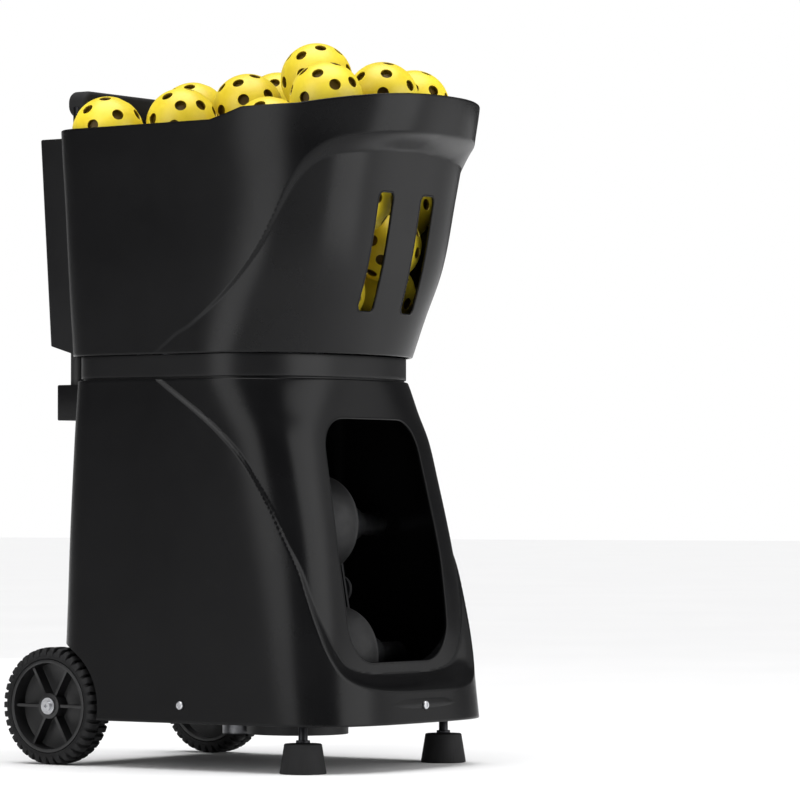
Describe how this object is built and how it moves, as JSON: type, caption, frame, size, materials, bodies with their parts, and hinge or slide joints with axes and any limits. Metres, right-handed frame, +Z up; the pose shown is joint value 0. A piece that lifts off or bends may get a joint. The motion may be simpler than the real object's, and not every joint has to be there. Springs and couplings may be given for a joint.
{
  "type": "ball machine",
  "caption": "Upright ball launcher with a flared hopper full of perforated balls, an arched front opening over two stacked launch wheels, rear transport wheels and a pull-up handle.",
  "frame": {"origin": "on the floor, at the centre of the machine's plan", "axes": "+Z up, the ball exit faces -Y, +X to the right seen from the front looking along +Y"},
  "size_m": [0.3064, 0.4548, 0.7405],
  "materials": {
    "shell": "satin moulded",
    "trim": "fine texture",
    "frame_plate": "anodised",
    "steel": "turned",
    "zinc": "zinc plated",
    "bronze": "sintered",
    "motor": "satin",
    "tyre_rubber": "matte",
    "foot_rubber": "matte",
    "grip": "matte",
    "tread": "soft foam",
    "gear": "moulded nylon",
    "cell": "shrink wrap",
    "board": "lacquered",
    "panel": "fine texture",
    "screen": "gloss",
    "button": "soft touch",
    "rocker": "gloss",
    "ball": "moulded"
  },
  "bodies": {
    "chassis": {"base_shell": "shell", "neck_band": "shell", "hopper_shell": "shell", "shell_screws": "zinc", "base_plate": "trim", "frame_posts": "frame_plate", "axle_bracket": "trim", "axle": "steel", "axle_screws": "zinc", "foot_nuts": "zinc", "yaw_bushing": "bronze", "swing_motor": "steel", "feed_deck": "trim", "feed_funnel": "trim", "feed_motor": "motor", "drop_tube": "trim", "battery": "cell", "battery_strap": "trim", "control_board": "board", "rear_box": "shell", "control_panel": "panel", "display": "screen", "rocker_frame": "trim", "charging_socket": "trim", "handle_bracket": "shell", "handle_tubes": "frame_plate"},
    "right_wheel": {"right_tyre": "tyre_rubber", "right_rim": "trim"},
    "left_wheel": {"left_tyre": "tyre_rubber", "left_rim": "trim"},
    "right_foot": {"right_foot_cup": "foot_rubber", "right_foot_stem": "steel"},
    "left_foot": {"left_foot_cup": "foot_rubber", "left_foot_stem": "steel"},
    "swing_drive": {"swing_pinion": "gear"},
    "turntable": {"turntable_gear": "gear", "left_yoke": "frame_plate", "right_yoke": "frame_plate", "ball_guide": "trim", "elevation_motor": "motor"},
    "cradle": {"left_cradle_plate": "frame_plate", "right_cradle_plate": "frame_plate", "pivot_pins": "steel", "upper_launch_motor": "motor", "lower_launch_motor": "motor"},
    "upper_launch_wheel": {"upper_launch_hub": "trim", "upper_launch_tread": "tread"},
    "lower_launch_wheel": {"lower_launch_hub": "trim", "lower_launch_tread": "tread"},
    "feeder": {"feed_disc": "trim"},
    "handle": {"handle_rods": "steel", "handle_grip": "grip"},
    "rocker": {"power_rocker": "rocker"},
    "button_1": {"button_1": "button"},
    "button_2": {"button_2": "button"},
    "button_3": {"button_3": "button"},
    "button_4": {"button_4": "button"},
    "ball_load": {"pickleballs": "ball"}
  },
  "joints": [
    {"name": "right_wheel_spin", "type": "hinge", "parent": "chassis", "child": "right_wheel", "pos_m": [0.134, 0.1675, 0.06], "axis": [1, 0, 0], "continuous": true},
    {"name": "left_wheel_spin", "type": "hinge", "parent": "chassis", "child": "left_wheel", "pos_m": [-0.134, 0.1675, 0.06], "axis": [1, 0, 0], "continuous": true},
    {"name": "right_foot_height", "type": "slide", "parent": "chassis", "child": "right_foot", "axis": [0, 0, -1], "range_m": [0, 0.02]},
    {"name": "left_foot_height", "type": "slide", "parent": "chassis", "child": "left_foot", "axis": [0, 0, -1], "range_m": [0, 0.02]},
    {"name": "handle_slide", "type": "slide", "parent": "chassis", "child": "handle", "axis": [0, 0, 1], "range_m": [0, 0.25]},
    {"name": "feed_spin", "type": "hinge", "parent": "chassis", "child": "feeder", "pos_m": [0, -0.017, 0.44], "axis": [0, 0, 1], "continuous": true},
    {"name": "swing", "type": "hinge", "parent": "chassis", "child": "turntable", "pos_m": [0, -0.04, 0.057], "axis": [0, 0, 1], "range_deg": [-12, 12]},
    {"name": "swing_pinion_spin", "type": "hinge", "parent": "chassis", "child": "swing_drive", "pos_m": [0, 0.033, 0.057], "axis": [0, 0, 1], "range_deg": [-34.3, 34.3]},
    {"name": "elevation", "type": "hinge", "parent": "turntable", "child": "cradle", "pos_m": [0, -0.0601, 0.179], "axis": [1, 0, 0], "range_deg": [-12, 10]},
    {"name": "upper_launch_spin", "type": "hinge", "parent": "cradle", "child": "upper_launch_wheel", "pos_m": [0, -0.0476, 0.246], "axis": [1, 0, 0], "continuous": true},
    {"name": "lower_launch_spin", "type": "hinge", "parent": "cradle", "child": "lower_launch_wheel", "pos_m": [0, -0.0726, 0.112], "axis": [1, 0, 0], "continuous": true},
    {"name": "power_switch", "type": "hinge", "parent": "chassis", "child": "rocker", "pos_m": [0.03, 0.21632, 0.52208], "axis": [1, 0, 0], "range_deg": [0, 12]},
    {"name": "balls_out", "type": "slide", "parent": "chassis", "child": "ball_load", "axis": [0, 0, 1], "range_m": [0, 0.3]},
    {"name": "button_1_press", "type": "slide", "parent": "chassis", "child": "button_1", "axis": [0, -0.9978, 0.0659], "range_m": [0, 0.0015], "stiffness_N_per_m": 400, "springref_m": -0.001},
    {"name": "button_2_press", "type": "slide", "parent": "chassis", "child": "button_2", "axis": [0, -0.9978, 0.0659], "range_m": [0, 0.0015], "stiffness_N_per_m": 400, "springref_m": -0.001},
    {"name": "button_3_press", "type": "slide", "parent": "chassis", "child": "button_3", "axis": [0, -0.9978, 0.0659], "range_m": [0, 0.0015], "stiffness_N_per_m": 400, "springref_m": -0.001},
    {"name": "button_4_press", "type": "slide", "parent": "chassis", "child": "button_4", "axis": [0, -0.9978, 0.0659], "range_m": [0, 0.0015], "stiffness_N_per_m": 400, "springref_m": -0.001}
  ],
  "couplings": [
    {"joint": "swing_pinion_spin", "follows": "swing", "ratio": -2.8421}
  ]
}
